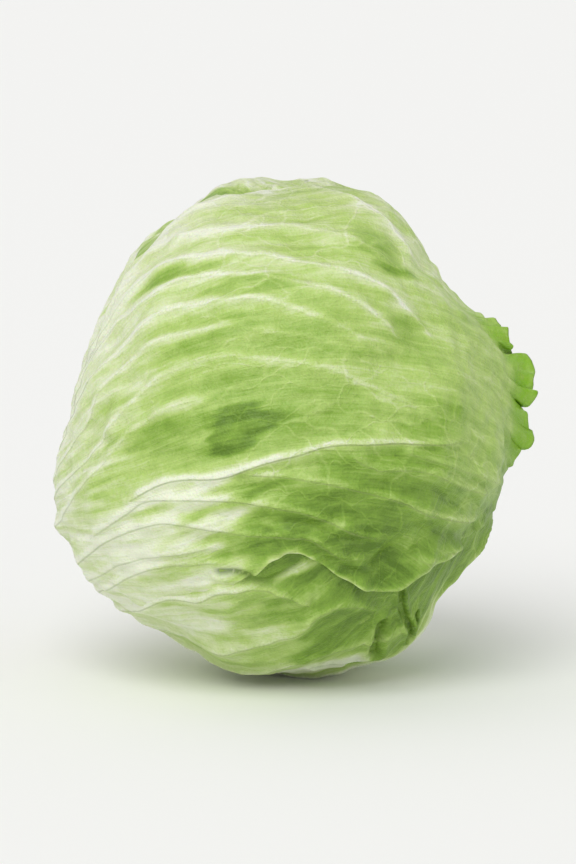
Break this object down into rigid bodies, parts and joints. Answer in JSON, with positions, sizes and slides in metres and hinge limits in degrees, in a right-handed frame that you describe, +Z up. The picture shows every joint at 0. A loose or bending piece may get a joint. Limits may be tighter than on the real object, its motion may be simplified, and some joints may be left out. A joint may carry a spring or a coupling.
{
  "type": "head of lettuce",
  "caption": "Round crisphead lettuce lying on its side: cupped, overlapping outer leaves wrapped round a tight heart and a short cut stem, with a frilled leaf tip at the crown.",
  "frame": {"origin": "on the resting surface, straight below the centre of the head", "axes": "+Z up as the head rests, -Y towards the front, +X towards the crown with the frilled leaf tip; the cut stem looks to -X, back and down"},
  "size_m": [0.1567, 0.1477, 0.1589],
  "materials": {
    "outer_leaf": "satin waxy green leaf, paler along the veins",
    "inner_leaf": "satin pale yellow-green leaf grown without light",
    "stem": "matte cream cut stem, slightly browned"
  },
  "bodies": {
    "root": {"outer_leaf_front": "outer_leaf", "outer_leaf_lower": "outer_leaf", "outer_leaf_crown": "outer_leaf", "outer_leaf_back": "outer_leaf", "outer_leaf_upper": "outer_leaf", "outer_leaf_side": "outer_leaf", "outer_leaf_ground": "outer_leaf", "outer_leaf_rear": "outer_leaf", "inner_leaf_01": "inner_leaf", "inner_leaf_02": "inner_leaf", "inner_leaf_03": "inner_leaf", "inner_leaf_04": "inner_leaf", "inner_leaf_05": "inner_leaf", "inner_leaf_06": "inner_leaf", "inner_leaf_07": "inner_leaf", "inner_leaf_08": "inner_leaf", "inner_leaf_09": "inner_leaf", "inner_leaf_10": "inner_leaf", "heart": "inner_leaf", "stem": "stem"}
  },
  "joints": []
}
